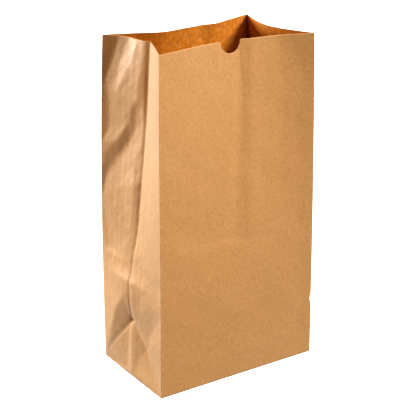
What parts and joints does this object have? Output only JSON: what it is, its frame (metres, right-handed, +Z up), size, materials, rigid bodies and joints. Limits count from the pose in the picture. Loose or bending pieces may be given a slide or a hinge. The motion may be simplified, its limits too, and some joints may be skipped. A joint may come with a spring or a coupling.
{
  "type": "brown paper lunch bag",
  "caption": "Open brown kraft paper lunch bag with side gussets, a folded square bottom and a half-round thumb cut in its front rim.",
  "frame": {"origin": "centre of the bag's bottom, on the outside face that it stands on", "axes": "+Z up through the mouth, +X along the front panel from the left gusset to the right one, and -Y out of the front panel with the thumb cut"},
  "size_m": [0.1534, 0.0932, 0.281],
  "materials": {
    "kraft_paper": "uncoated brown kraft paper, fibrous and matt with a faint machine glaze"
  },
  "bodies": {
    "root": {"paper_bag": "kraft_paper"}
  },
  "joints": []
}
